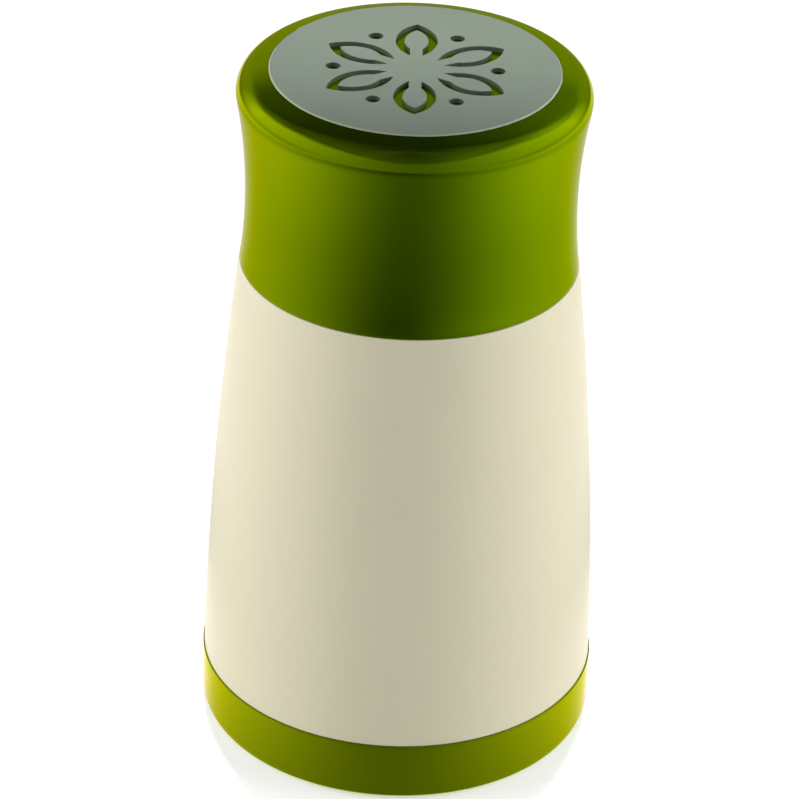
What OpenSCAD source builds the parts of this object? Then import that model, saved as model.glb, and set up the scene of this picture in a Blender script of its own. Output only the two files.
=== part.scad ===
// Twist herb mill: turning the cap drives a swept blade over a slotted plate at the foot of the hopper.
// Millimetres. +Z runs up the mill's axis. The origin is the middle of the face that the mill stands on.

/* [Hopper] */
// Bore of the hopper that holds the herbs
hopper_d = 51.4; // [46:0.2:60]
// Wall of the hopper liner
liner_wall = 1.8; // [1.4:0.1:2.4]
// Thickness of the flange at the liner's foot
flange_t = 2.2; // [1.6:0.1:3]

/* [Body shell] */
// Height of the body shell
body_h = 80.8; // [70:0.1:100]
// How much wider the shell is at its foot than at its neck, on the radius
body_flare = 5.6; // [4.5:0.1:8]
// Radius of the long curve of the shell's side
body_curve_r = 800; // [500:10:2000]
// Wall of the shell
body_wall = 2.2; // [1.6:0.1:2.8]
// Thickness of the flange that closes in the shell's neck
neck_t = 2.5; // [2:0.1:3.5]
// How far the neck's bore stands back from the hopper's bore
neck_step = 0.8; // [0.6:0.1:1.4]
// Height of the land inside the neck that holds the liner's top
neck_land_h = 6; // [4:0.5:10]
// Bevel along the shell's edges
body_bevel = 0.2; // [0.2:0.1:0.8]

/* [Cap] */
// Height of the cap from its lower edge to the top of its shoulder
cap_h = 36.8; // [32:0.05:45]
// Wall of the cap
cap_wall = 2.2; // [1.6:0.1:3]
// How far the cap's lower edge stands inside the body's top edge
cap_step = 0.3; // [0.2:0.05:1.2]
// Depth of the waist below the cap's lower edge, on the radius
waist_depth = 0.8; // [0.5:0.05:1.2]
// Height of the waist above the cap's lower edge
waist_h = 12.8; // [9:0.1:16]
// Round of the cap's rim
rim_round = 4; // [2:0.1:5]
// Height of the rim's middle below the top of the shoulder
rim_drop = 4.45; // [3:0.05:6]
// Width of the sloping shoulder round the disc
shoulder_w = 5.4; // [4:0.05:8]
// Thickness of the plate under the disc
cap_plate_t = 2.6; // [2:0.1:4]
// Depth of the ribs under that plate
cap_rib_h = 9; // [4:0.5:12]
// Wall of the cap's hub round the bush's bore
cap_hub_wall = 2.6; // [2:0.1:3.5]
// Bevel of the cap's lower edge
cap_bevel = 0.3; // [0.2:0.1:0.9]

/* [Disc] */
// Thickness of the disc in the cap's top
disc_t = 0.8; // [0.6:0.1:2]
// How far the disc stands proud of the shoulder
disc_proud = 0.2; // [0.1:0.05:0.5]
// Bevel of the disc's edge
disc_bevel = 0.25; // [0.1:0.05:0.4]
// Number of petals in the disc's rosette
petal_count = 6; // [4:1:8]
// Length of a petal
petal_len = 13.5; // [8:0.5:15]
// Width of a petal
petal_w = 7.4; // [5:0.1:8]
// Width of the cut that draws the rosette
petal_cut = 1.6; // [0.8:0.05:1.8]
// Diameter of the dots between the petals
dot_d = 2.6; // [1.2:0.1:3]
// Radius of the plain middle of the rosette
rosette_core_r = 4.2; // [3:0.1:6]

/* [Base ring] */
// How far the ring's top edge stands out from the shell's foot
base_lip = 0.25; // [0:0.05:1]
// Narrowing of the ring towards its foot, on the radius
base_draft = 0.4; // [0.1:0.05:0.8]
// Round of the ring's lower edge
base_round = 2.5; // [2:0.1:4]
// Width of the face that the mill stands on
rest_w = 1.6; // [1:0.1:2.5]
// Depth of the outlet below the ledge
outlet_h = 4.4; // [4:0.1:8]
// Thickness of the ledge that carries the cutter
ledge_t = 2.2; // [1.6:0.1:3]
// How far the ledge's bore stands back from the liner
ledge_step = 0.9; // [0.4:0.1:1.6]
// Wall outside the bayonet groove
base_wall = 1.8; // [1.4:0.1:2.4]
// Thickness of the lip that holds the bayonet lugs down
lip_t = 1.4; // [1:0.1:2.5]
// Bevel of the ring's top edge
base_bevel = 0.2; // [0.1:0.1:0.6]

/* [Bayonet] */
// Number of lugs
lug_count = 3; // [2:1:4]
// Thickness of a lug
lug_t = 1.8; // [1.2:0.1:3]
// How far a lug stands out
lug_h = 1.5; // [1:0.1:2]
// Angle that a lug covers
lug_arc = 26; // [16:1:30]
// Turn that unlocks the ring
lock_turn = 35; // [34:1:40]
// Wall of the skirt that carries the lugs
skirt_wall = 2; // [1.4:0.1:2.6]

/* [Cutter] */
// Thickness of the slotted plate
stator_t = 0.8; // [0.5:0.1:1.5]
// Number of long slots, with a short slot between each pair
slot_count = 18; // [10:1:20]
// Width of a slot
slot_w = 1.9; // [1:0.1:2]
// Plain band between the hub's flange and the slots
slot_in_band = 1.2; // [0.6:0.1:2.4]
// Plain band between the slots and the hopper's wall
slot_out_band = 1; // [0.6:0.1:2]
// Radius that the slots and the blade's arms curve on
sweep_r = 20; // [18:1:40]
// Thickness of the turning blade
blade_t = 1; // [0.6:0.1:2]
// Number of arms on the blade
arm_count = 3; // [2:1:4]
// Width of an arm at its foot
arm_w = 5.4; // [3:0.1:7]
// Width of the ground bevel along each edge of an arm
arm_bevel = 1.3; // [0.4:0.1:1.4]
// Gap between the blade's tips and the hopper's wall
blade_gap = 0.5; // [0.3:0.1:1]
// Diameter of the hub's pin in the slotted plate
rotor_pin_d = 8; // [6:0.2:9]
// Length of that pin below its clip
rotor_pin_end = 0.7; // [0.4:0.1:1.2]
// Height of the hub above the blade
rotor_hub_h = 7; // [5:0.1:12]
// Wall of the hub at the corners of its socket
rotor_hub_wall = 1.7; // [1.2:0.1:2.4]
// Thickness of the hub's flange
rotor_flange_t = 1.2; // [0.8:0.1:2]
// How far the flange reaches past the hub
rotor_flange_w = 1.6; // [1:0.1:2.4]
// Thickness of the gasket between liner and slotted plate
gasket_t = 0.6; // [0.4:0.1:1.2]
// Thickness of the washer under the slotted plate
rotor_washer_t = 0.5; // [0.3:0.1:1]
// Width of that washer, on the radius
rotor_washer_w = 3; // [2:0.1:4]

/* [Shaft] */
// Side of the square shaft
shaft_w = 6; // [5:0.2:8]
// Length of the taper at the shaft's foot
shaft_lead = 1.2; // [0.6:0.1:1.2]
// Length of the journal in the cap's hub, below the tip
tip_rise = 5; // [3:0.5:7]
// Length of the two-flat tip in the cap's hub
tip_len = 9; // [6:0.5:10]
// Depth of each flat
tip_flat = 0.7; // [0.4:0.1:1]
// Depth of the shaft's tip in the rotor hub's socket
socket_depth = 5.5; // [3:0.5:6]
// Thickness of the retaining clips
clip_t = 0.8; // [0.5:0.1:1.2]
// Depth of the grooves that hold the clips
clip_groove = 0.6; // [0.4:0.1:0.8]
// How far a clip stands out beyond its groove
clip_reach = 3.2; // [2.6:0.1:4]

/* [Cap screw] */
// Diameter of the screw
screw_d = 2.9; // [2.5:0.1:3.5]
// Length of the screw under its head
screw_len = 10; // [8:0.5:12]
// Diameter of the screw's head
screw_head_d = 6; // [5:0.1:7]
// Height of the screw's head
screw_head_h = 2; // [1.6:0.1:2.6]
// Depth of the cross in the screw's head
screw_cross_h = 1; // [0.6:0.1:1.4]
// Diameter of the washer under the head
washer_d = 8; // [7:0.2:10]
// Thickness of that washer
washer_t = 0.6; // [0.4:0.1:1]
// Thickness of the seat that carries the washer
screw_seat_t = 2.6; // [2:0.1:4]

/* [Collar] */
// Thickness of the collar's web
collar_t = 2; // [1.5:0.1:3]
// How far the collar's rim reaches past the neck's bore
collar_lip = 0.5; // [0.3:0.1:1]
// Depth of the plug inside the neck
plug_len = 11; // [9:0.5:16]
// Wall of the plug
plug_wall = 2.6; // [2.2:0.1:4]
// Thickness of the O-ring's cord
seal_cord_d = 1.8; // [1.2:0.1:2]
// Depth of the bearing hub below the web
bearing_drop = 7; // [4:0.5:8]
// Height of the bearing hub above the web
bearing_rise = 2; // [1:0.5:4]
// Wall of the bush
bush_wall = 1.8; // [1.2:0.1:2.4]
// Thickness of the bush's flange
bush_flange_t = 1; // [0.6:0.1:2]
// How far that flange reaches past the bush
bush_flange_w = 1.6; // [1:0.1:2]
// Depth of the ribs under the web
collar_rib_h = 4; // [2:0.5:6]
// Thickness of the slip washer on the bush
thrust_t = 0.6; // [0.4:0.1:1.2]
// Width of the keys that stop the collar turning
key_w = 8; // [5:0.5:12]
// How far a key stands out
key_h = 1.6; // [1:0.1:2]

/* [Presser] */
// Thickness of the presser's plate
press_t = 2.4; // [1.6:0.1:4]
// Height of the presser's skirt above its plate
press_skirt_h = 9; // [6:0.5:14]
// Wall of the presser's skirt and guide tube
press_wall = 1.8; // [1.2:0.1:2.6]
// Height of the presser's guide tube above its plate
press_tube_h = 11; // [6:0.5:16]
// Height of the wiper ring above the presser's underside
wiper_rise = 0.8; // [0.6:0.1:2]
// Height of the wiper ring
wiper_h = 2; // [1.4:0.1:3]
// Depth of the groove that holds the wiper ring
wiper_groove = 0.9; // [0.6:0.1:1.2]
// Wire of the presser's spring
spring_wire_d = 1; // [0.8:0.1:1.4]
// Turns of the spring
spring_turns = 11; // [8:1:14]
// Gap between the spring and the guide tube
spring_room = 1.2; // [0.8:0.1:2]

/* [Ribs] */
// Number of ribs inside the cap, the collar and the presser
rib_count = 6; // [4:1:10]
// Width of a rib
rib_w = 1.6; // [1.2:0.1:2.2]

/* [Clearances] */
// Gap in the two visible seams, above and below the body
seam = 0.15; // [0.15:0.05:0.6]
// Gap between flat faces that move on each other
flat_gap = 0.1; // [0.05:0.05:0.3]
// Gap round a turning shaft or pin
run_gap = 0.04; // [0.02:0.01:0.1]
// Gap between pieces that are pressed or glued together
press_gap = 0.05; // [0.02:0.01:0.15]
// Gap between pieces that slide or turn loosely
loose_gap = 0.3; // [0.2:0.05:0.5]
// Gap between the presser and the hopper's wall
presser_gap = 0.7; // [0.5:0.1:1.2]
// Gap between the O-ring and the hopper's wall
seal_gap = 0.2; // [0.1:0.05:0.4]

/* [Hidden] */
$fn = 96;

// Overlap that makes cuts and joins clean
eps = 0.01;
// How far ribs, keys and arms sink into what carries them
join = 0.5;
// Facets of the preview for curves of long radius
long_fn = 2400;

// Colours
green = [0.55, 0.60, 0.04];
cream = [0.90, 0.88, 0.80];
sage = [0.52, 0.58, 0.51];
white = [0.94, 0.94, 0.92];
steel = [0.72, 0.73, 0.75];
bronze = [0.70, 0.55, 0.30];
silicone = [0.80, 0.82, 0.80];

// Radii, worked outwards from the hopper's bore
hopper_r = hopper_d / 2;
liner_r = hopper_r + liner_wall;
neck_r = hopper_r + neck_step;
collar_r = neck_r + collar_lip;
// Room between the collar's rim and the inside of the cap
cap_room = 0.75;
cap_in_r = collar_r + cap_room;
cap_foot_r = cap_in_r + cap_wall;
body_top_r = cap_foot_r + cap_step;
body_foot_r = body_top_r + body_flare;
base_r = body_foot_r + base_lip;

// Heights of the foot, worked upwards from the table
ledge_z = outlet_h + ledge_t;
stator_z = ledge_z + flat_gap;
stator_top = stator_z + stator_t;
// Room between the slotted plate and the bayonet lugs
lug_room = 0.9;
lug_z = stator_top + lug_room;
groove_top = lug_z + lug_t + loose_gap;
base_h = groove_top + lip_t;
body_z = base_h + seam;
body_top = body_z + body_h;
cap_z = body_top + seam;
cap_top = cap_z + cap_h;
disc_top = cap_top + disc_proud;
disc_z = disc_top - disc_t;

// The shell's side is an arc through its foot and its neck
body_foot = [body_foot_r, body_z];
body_neck = [body_top_r, body_top];
body_centre = arc_centre(body_foot, body_neck, body_curve_r);

// The cap's side is a hollow arc, and the rim's round is tangent to it and to the shoulder
waist_r = cap_foot_r - waist_depth;
waist_curve_r = (waist_h * waist_h + waist_depth * waist_depth) / (2 * waist_depth);
waist_centre = [waist_r + waist_curve_r, cap_z + waist_h];
rim_z = cap_top - rim_drop;
rim_centre = [waist_centre.x - leg(waist_curve_r + rim_round, rim_z - waist_centre.y), rim_z];
rim_foot = rim_centre + rim_round * unit(waist_centre - rim_centre);
disc_r = rim_centre.x + rim_round - shoulder_w;
shoulder = [disc_r + press_gap, cap_top];
rim_head = tangent_point(shoulder, rim_centre, rim_round);
cavity_top = disc_z - cap_plate_t;

// Base ring
base_corner = [base_r - base_draft - base_round, base_round];
base_side = tangent_point([base_r, base_h], base_corner, base_round);
rest_r = base_corner.x - rest_w;
ledge_r = liner_r + ledge_step;
groove_r = base_r - base_wall;
lug_r = groove_r - loose_gap;
skirt_r = lug_r - lug_h;
base_bore_r = skirt_r + loose_gap;
// Angle of play at each end of a lug
lug_play = 2;

// Cutter
stator_r = skirt_r - loose_gap;
liner_z = stator_top + gasket_t;
// Room between the slotted plate and the skirt
skirt_room = 0.2;
skirt_z = stator_top + skirt_room;
// Angle of the keys that stop the slotted plate turning
stator_key_arc = 9;
rotor_pin_r = rotor_pin_d / 2;
blade_z = stator_top + loose_gap;
blade_top = blade_z + blade_t;
blade_r = hopper_r - blade_gap;
// How much wider than the pin the square is that turns the blade
drive_step = 1;
blade_drive_w = rotor_pin_d + drive_step;
// Play of the shaft in its socket, on each side
socket_play = 0.2;
socket_w = shaft_w + 2 * socket_play;
rotor_hub_r = socket_w / sqrt(2) + rotor_hub_wall;
rotor_flange_r = max(rotor_hub_r, blade_drive_w / sqrt(2)) + rotor_flange_w;
rotor_hub_top = blade_top + rotor_hub_h;
rotor_washer_z = stator_z - flat_gap - rotor_washer_t;
rotor_clip_z = rotor_washer_z - flat_gap - clip_t;
slot_in_r = rotor_flange_r + slot_in_band;
slot_out_r = hopper_r - slot_out_band;
slot_mid_r = (slot_in_r + slot_out_r) / 2;

// Shaft, presser and spring
shaft_corner_r = shaft_w / sqrt(2);
shaft_z = rotor_hub_top - socket_depth;
// Room between the rotor's hub and the stop clip
stop_room = 0.8;
stop_clip_z = rotor_hub_top + stop_room;
press_z = stop_clip_z + clip_t + loose_gap;
press_top = press_z + press_t;
press_r = hopper_r - presser_gap;
tube_bore_r = shaft_corner_r + loose_gap;
tube_r = tube_bore_r + press_wall;
wiper_z = press_z + wiper_rise;
wiper_r = hopper_r - loose_gap;
spring_r = tube_r + spring_room + spring_wire_d / 2;
spring_outer_r = spring_r + spring_wire_d / 2;

// Collar and bearing
collar_z = body_top + flat_gap;
collar_top = collar_z + collar_t;
liner_top = body_top - neck_t;
plug_r = hopper_r - loose_gap;
plug_in_r = plug_r - plug_wall;
plug_z = body_top - plug_len;
// How far the journal stands in from the square's sides
journal_step = 0.1;
// Material left in the neck under the keys
key_floor = 0.6;
key_r = neck_r + key_h;
seal_z = (liner_top + plug_z) / 2;
seal_r = hopper_r - seal_gap - seal_cord_d / 2;
journal_r = shaft_w / 2 - journal_step;
bush_r = journal_r + run_gap + bush_wall;
bearing_r = spring_r - spring_wire_d / 2 - loose_gap;
bearing_z = collar_z - bearing_drop;
bearing_top = collar_top + bearing_rise;
bush_top = bearing_top + bush_flange_t;
shaft_clip_z = bearing_z - flat_gap - clip_t;
// Length of the journal below its clip
journal_end = 1;
journal_z = shaft_clip_z - journal_end;
thrust_z = bush_top + flat_gap;

// The cap's hub, its drive socket and its screw
cap_hub_z = thrust_z + thrust_t + flat_gap;
cap_hub_r = bush_r + cap_hub_wall;
tip_z = cap_hub_z + tip_rise;
tip_top = tip_z + tip_len;
// Distance across the flats of the shaft's tip
tip_flats = 2 * (journal_r - tip_flat);
screw_seat_z = tip_top + screw_seat_t;
washer_r = washer_d / 2;
screw_r = screw_d / 2;
screw_head_r = screw_head_d / 2;
// Room round the washer in the well that lets the screw in from above
screw_well_room = 0.8;
screw_well_r = washer_r + screw_well_room;

// Distance from the foot of a right triangle's leg to its other end
function leg(hypotenuse, other) = sqrt(hypotenuse * hypotenuse - other * other);

function unit(v) = v / norm(v);

// Centre, on the axis side, of the arc of radius r from point a up to point b
function arc_centre(a, b, r) =
    let (along = unit(b - a), inward = [-along.y, along.x])
    (a + b) / 2 + inward * leg(r, norm(b - a) / 2);

// Point where the outer tangent from p touches the circle at c
function tangent_point(p, c, r) =
    let (d = c - p, turn = atan2(d.y, d.x) + asin(r / norm(d)))
    p + leg(norm(d), r) * [cos(turn), sin(turn)];

// Angle along the sweep's arc, which starts at the axis, at a distance from the axis
function arc_angle(r) = 2 * asin(r / (2 * sweep_r));

// Inside radius of the shell at a height
function shell_in_r(z) = body_centre.x + leg(body_curve_r - body_wall, z - body_centre.y);

// A tube between two radii, standing on a height
module tube(r_in, r_out, z, h) {
    rotate_extrude() translate([r_in, z]) square([r_out - r_in, h]);
}

// A tube's arc, from one angle to another
module tube_arc(r_in, r_out, z, h, from, to) {
    rotate_extrude(angle = to - from, start = from) translate([r_in, z]) square([r_out - r_in, h]);
}

// A ring of radial ribs between two radii, sunk into what carries them
module ribs(r_in, r_out, z, h) {
    for (i = [0 : rib_count - 1])
        rotate(360 / rib_count * i) translate([r_in - join, -rib_w / 2, z])
            cube([r_out - r_in + 2 * join, rib_w, h]);
}

// An open retaining clip round a groove of radius r
module clip(r, z) {
    mouth = 70;
    tube_arc(r + press_gap, r + clip_reach, z, clip_t, mouth / 2, 360 - mouth / 2);
}

// The groove that a clip sits in, to be cut from a shaft
module clip_cut(r, z) {
    tube(r, r + clip_reach, z - press_gap, clip_t + 2 * press_gap);
}

// A lens of two arcs, along Y
module lens(length, width) {
    arc_r = (length * length + width * width) / (4 * width);
    intersection_for (side = [-1, 1])
        translate([side * (arc_r - width / 2), 0]) circle(r = arc_r, $fn = 240);
}

// One petal's outline, open at its inner end so that its middle stays joined to the disc
module petal() {
    bridge_w = 2.2;
    difference() {
        lens(petal_len, petal_w);
        lens(petal_len - 3 * petal_cut, petal_w - 2 * petal_cut);
        translate([-bridge_w / 2, -petal_len / 2]) square([bridge_w, petal_len / 2]);
    }
}

module rosette() {
    petal_mid_r = rosette_core_r + petal_len / 2;
    for (i = [0 : petal_count - 1])
        rotate(360 / petal_count * i) {
            translate([0, petal_mid_r]) petal();
            rotate(180 / petal_count) translate([0, petal_mid_r + petal_len / 4]) circle(d = dot_d);
        }
}

// One curved slot between two radii, along the arc that starts at the axis
module slot(r_in, r_out) {
    intersection() {
        translate([sweep_r, 0]) difference() {
            circle(r = sweep_r + slot_w / 2);
            circle(r = sweep_r - slot_w / 2);
        }
        difference() {
            circle(r = r_out);
            circle(r = r_in);
        }
        translate([-hopper_r, 0]) square([2 * hopper_r, hopper_r]);
    }
}

// One arm of the blade: a bar with ground edges, bent the other way from the slots
module arm() {
    top_w = arm_w - 2 * arm_bevel;
    over = 5;
    from = arc_angle(rotor_flange_r - 4 * join);
    to = arc_angle(hopper_r) + over;
    translate([-sweep_r, 0, blade_z])
        rotate_extrude(angle = to - from, start = from)
            polygon([
                [sweep_r - arm_w / 2, 0], [sweep_r + arm_w / 2, 0],
                [sweep_r + top_w / 2, blade_t], [sweep_r - top_w / 2, blade_t]
            ]);
}

// Points along the spring's wire: its end turns lie flat and the turns between are spread evenly
spring_steps = 20;
spring_foot_z = press_top + flat_gap + spring_wire_d / 2;
spring_head_z = collar_z - flat_gap - spring_wire_d / 2;
function spring_rise(t) =
    let (end_rise = spring_wire_d * 1.05, u = (t - 1) / (spring_turns - 2))
    t < 1 ? end_rise * t / spring_span() :
    t > spring_turns - 1 ? 1 - end_rise * (spring_turns - t) / spring_span() :
    (end_rise + (spring_span() - 2 * end_rise) * u) / spring_span();
function spring_span() = spring_head_z - spring_foot_z;
function spring_point(t) = [
    spring_r * cos(360 * t), spring_r * sin(360 * t), spring_foot_z + spring_span() * spring_rise(t)
];

// A round wire swept along a list of points, with flat ends
module wire(points, d, sides = 8) {
    last = len(points) - 1;
    ring = [
        for (i = [0 : last])
            let (
                ahead = unit(points[min(i + 1, last)] - points[max(i - 1, 0)]),
                out = unit([points[i].x, points[i].y, 0]),
                side = unit(cross(ahead, out)),
                up = cross(side, ahead)
            )
            for (k = [0 : sides - 1])
                points[i] + d / 2 * (cos(360 * k / sides) * up + sin(360 * k / sides) * side)
    ];
    skin = [
        for (i = [0 : last - 1], k = [0 : sides - 1])
            let (a = i * sides + k, b = i * sides + (k + 1) % sides)
            each [[a, a + sides, b], [b, a + sides, b + sides]]
    ];
    start = [[for (k = [0 : sides - 1]) k]];
    end = [[for (k = [sides - 1 : -1 : 0]) last * sides + k]];
    polyhedron(concat(ring), concat(start, skin, end), convexity = 10);
}

// Half section of the cap without its hub
module cap_section() {
    difference() {
        union() {
            polygon([
                [0, cap_z], [cap_foot_r - cap_bevel, cap_z], [cap_foot_r, cap_z + cap_bevel],
                rim_foot, rim_centre, rim_head, shoulder, [0, cap_top]
            ]);
            translate(rim_centre) circle(r = rim_round);
        }
        intersection() {
            translate(waist_centre) circle(r = waist_curve_r, $fn = long_fn);
            translate([0, cap_z]) square([waist_centre.x, rim_foot.y - cap_z]);
        }
        difference() {
            translate([-eps, cap_z - eps]) square([cap_in_r + eps, cavity_top - cap_z + eps]);
            translate(waist_centre) circle(r = waist_curve_r + cap_wall, $fn = long_fn);
        }
        translate([-eps, disc_z]) square([disc_r + press_gap + eps, disc_top - disc_z]);
    }
}

// Half section of the space in the cap, reaching half way into its wall, at the height of the ribs
module cap_core() {
    difference() {
        translate([0, cavity_top - cap_rib_h]) square([cap_in_r + cap_wall / 2, cap_rib_h + join]);
        translate(waist_centre) circle(r = waist_curve_r + cap_wall / 2, $fn = long_fn);
    }
}

module cap() {
    color(green) difference() {
        union() {
            rotate_extrude() cap_section();
            translate([0, 0, cap_hub_z]) cylinder(r = cap_hub_r, h = disc_z - cap_hub_z);
            intersection() {
                ribs(cap_hub_r, cap_foot_r, cavity_top - cap_rib_h, cap_rib_h + join);
                rotate_extrude() cap_core();
            }
        }
        translate([0, 0, screw_seat_z]) cylinder(r = screw_well_r, h = disc_top - screw_seat_z);
        translate([0, 0, tip_top - eps]) cylinder(r = screw_r + loose_gap, h = screw_seat_z - tip_top + 2 * eps);
        translate([0, 0, cap_hub_z - eps]) cylinder(r = journal_r + loose_gap, h = tip_z - cap_hub_z + eps);
        two_flat(journal_r + press_gap, tip_flats + 2 * press_gap, tip_z - eps, tip_len + eps);
    }
}

// A round bar with two flats
module two_flat(r, flats, z, h) {
    intersection() {
        translate([0, 0, z]) cylinder(r = r, h = h);
        translate([-flats / 2, -2 * r, z]) cube([flats, 4 * r, h]);
    }
}

module top_disc() {
    color(sage) difference() {
        rotate_extrude() polygon([
            [0, disc_z], [disc_r, disc_z], [disc_r, disc_top - disc_bevel], [disc_r - disc_bevel, disc_top],
            [0, disc_top]
        ]);
        translate([0, 0, disc_z - eps]) linear_extrude(disc_t + 2 * eps) rosette();
    }
}

module cap_screw() {
    seat = screw_seat_z + washer_t;
    cross_w = screw_d / 3;
    head_taper = screw_head_h / 4;
    color(steel) difference() {
        union() {
            translate([0, 0, seat - screw_len]) cylinder(r = screw_r, h = screw_len + eps);
            translate([0, 0, seat]) cylinder(r1 = screw_head_r, r2 = screw_head_r - head_taper, h = screw_head_h);
        }
        for (turn = [0, 90])
            rotate(turn) translate([-screw_r, -cross_w / 2, seat + screw_head_h - screw_cross_h])
                cube([screw_d, cross_w, screw_cross_h + eps]);
    }
}

module screw_washer() {
    color(steel) tube(screw_r + press_gap, washer_r, screw_seat_z, washer_t);
}

module drive_shaft() {
    groove_in_r = shaft_w / 2 - clip_groove;
    screw_foot_z = screw_seat_z + washer_t - screw_len;
    color(steel) difference() {
        union() {
            intersection() {
                translate([-shaft_w / 2, -shaft_w / 2, shaft_z]) cube([shaft_w, shaft_w, journal_z - shaft_z]);
                union() {
                    translate([0, 0, shaft_z])
                        cylinder(r1 = shaft_corner_r - shaft_lead, r2 = shaft_corner_r + join, h = shaft_lead);
                    translate([0, 0, shaft_z + shaft_lead - eps])
                        cylinder(r = shaft_corner_r + join, h = journal_z - shaft_z);
                }
            }
            translate([0, 0, journal_z - eps]) cylinder(r = journal_r, h = tip_z - journal_z + eps);
            two_flat(journal_r, tip_flats, tip_z - eps, tip_len + eps);
        }
        clip_cut(groove_in_r, stop_clip_z);
        clip_cut(journal_r - clip_groove, shaft_clip_z);
        translate([0, 0, screw_foot_z - screw_r]) cylinder(r = screw_r + press_gap, h = screw_len);
    }
}

module shaft_clip() {
    color(steel) clip(journal_r - clip_groove, shaft_clip_z);
}

module stop_clip() {
    color(steel) clip(shaft_w / 2 - clip_groove, stop_clip_z);
}

module thrust_washer() {
    color(white) tube(journal_r + press_gap, cap_hub_r - loose_gap, thrust_z, thrust_t);
}

module collar() {
    seal_room = seal_cord_d + 2 * press_gap;
    step_z = liner_top + flat_gap;
    color(white) union() {
        difference() {
            union() {
                tube(bush_r + press_gap, collar_r, collar_z, collar_t);
                tube(bush_r + press_gap, bearing_r, bearing_z, bearing_top - bearing_z);
                tube(plug_in_r, plug_r, plug_z, collar_z - plug_z + eps);
                tube(plug_in_r, neck_r - loose_gap, step_z, collar_z - step_z + eps);
            }
            tube(
                seal_r - seal_cord_d / 2 - press_gap, hopper_r, seal_z - seal_room / 2, seal_room
            );
        }
        ribs(spring_outer_r + rib_w, plug_in_r, collar_z - collar_rib_h, collar_rib_h + eps);
        collar_keys(key_w, key_r - loose_gap, body_top - neck_t + key_floor + flat_gap, body_top);
    }
}

// Two opposite keys on the collar's plug, or the slots for them
module collar_keys(w, r, z, top) {
    for (turn = [0, 180])
        rotate(turn) translate([plug_r - join, -w / 2, z]) cube([r - plug_r + join, w, top - z]);
}

module collar_seal() {
    color(silicone) rotate_extrude() translate([seal_r, seal_z]) circle(d = seal_cord_d);
}

module shaft_bush() {
    bore_r = journal_r + run_gap;
    color(bronze) union() {
        tube(bore_r, bush_r, bearing_z, bearing_top - bearing_z + eps);
        tube(bore_r, bush_r + bush_flange_w, bearing_top, bush_flange_t);
    }
}

module press_spring() {
    points = [for (i = [0 : spring_turns * spring_steps]) spring_point(i / spring_steps)];
    color(steel) wire(points, spring_wire_d);
}

module press_plate() {
    skirt_top = press_top + press_skirt_h;
    color(white) union() {
        difference() {
            union() {
                tube(tube_bore_r, press_r, press_z, press_t);
                tube(press_r - press_wall, press_r, press_top - eps, press_skirt_h + eps);
                tube(tube_bore_r, tube_r, press_top - eps, press_tube_h + eps);
            }
            tube(press_r - wiper_groove, hopper_r, wiper_z - press_gap, wiper_h + 2 * press_gap);
        }
        ribs(spring_outer_r + rib_w, press_r - press_wall, press_top - eps, press_skirt_h / 2);
    }
}

module press_wiper() {
    inner = press_r - wiper_groove + press_gap;
    lip = wiper_h / 4;
    color(silicone) rotate_extrude() polygon([
        [inner, wiper_z], [press_r, wiper_z], [wiper_r, wiper_z + lip], [wiper_r, wiper_z + wiper_h - lip],
        [press_r, wiper_z + wiper_h], [inner, wiper_z + wiper_h]
    ]);
}

// The half plane inside the shell's side, cut to the shell's height
module shell_side(curve_r) {
    intersection() {
        translate(body_centre) circle(r = curve_r, $fn = long_fn);
        translate([0, body_z]) square([body_foot_r + join, body_h]);
    }
}

// A corner to be cut off an edge
module bevel_cut(corner, w, up) {
    polygon([corner + [-w, 0], corner + [w, 0], corner + [w, 2 * w * up]]);
}

module body_shell() {
    land_z = liner_top - neck_land_h;
    color(cream) difference() {
        rotate_extrude() difference() {
            shell_side(body_curve_r);
            intersection() {
                shell_side(body_curve_r - body_wall);
                translate([-eps, body_z - eps]) square([body_foot_r, land_z - body_z + eps]);
            }
            translate([-eps, body_z]) square([liner_r + press_gap + eps, liner_top - body_z]);
            translate([-eps, body_z]) square([neck_r + eps, body_h + eps]);
            bevel_cut(body_foot, body_bevel, 1);
            bevel_cut(body_neck, body_bevel / 2, -1);
        }
        collar_keys(key_w + 2 * loose_gap, key_r, body_top - neck_t + key_floor, body_top + eps);
    }
}

module hopper_liner() {
    flange_r = shell_in_r(body_z + flange_t) - press_gap;
    skirt_in_r = skirt_r - skirt_wall;
    lug_step = 360 / lug_count;
    color(white) union() {
        tube(hopper_r, liner_r, liner_z, liner_top - liner_z);
        tube(liner_r - eps, flange_r, body_z, flange_t);
        tube(skirt_in_r, skirt_r, skirt_z, body_z - skirt_z + eps);
        for (i = [0 : lug_count - 1]) {
            tube_arc(skirt_r - eps, lug_r, lug_z, lug_t, lug_step * i - lug_arc / 2, lug_step * i + lug_arc / 2);
            stator_key(skirt_in_r, skirt_r, stator_z + flat_gap, skirt_z + eps, i, 0);
        }
    }
}

// One of the keys that stop the slotted plate turning, or the notch for it
module stator_key(r_in, r_out, z, top, i, play) {
    middle = 360 / lug_count * (i + 0.5);
    half = stator_key_arc / 2 + play;
    tube_arc(r_in, r_out, z, top - z, middle - half, middle + half);
}

module stator_blade() {
    color(steel) difference() {
        translate([0, 0, stator_z]) linear_extrude(stator_t) difference() {
            circle(r = stator_r);
            circle(r = rotor_pin_r + run_gap);
            for (i = [0 : slot_count - 1])
                rotate(360 / slot_count * i) {
                    slot(slot_in_r, slot_out_r);
                    rotate(180 / slot_count) slot(slot_mid_r, slot_out_r);
                }
        }
        for (i = [0 : lug_count - 1])
            stator_key(skirt_r - skirt_wall - loose_gap, skirt_r, stator_z - eps, stator_top + eps, i, 1);
    }
}

module stator_gasket() {
    color(silicone) tube(hopper_r + press_gap, liner_r - press_gap, stator_top, gasket_t);
}

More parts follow.
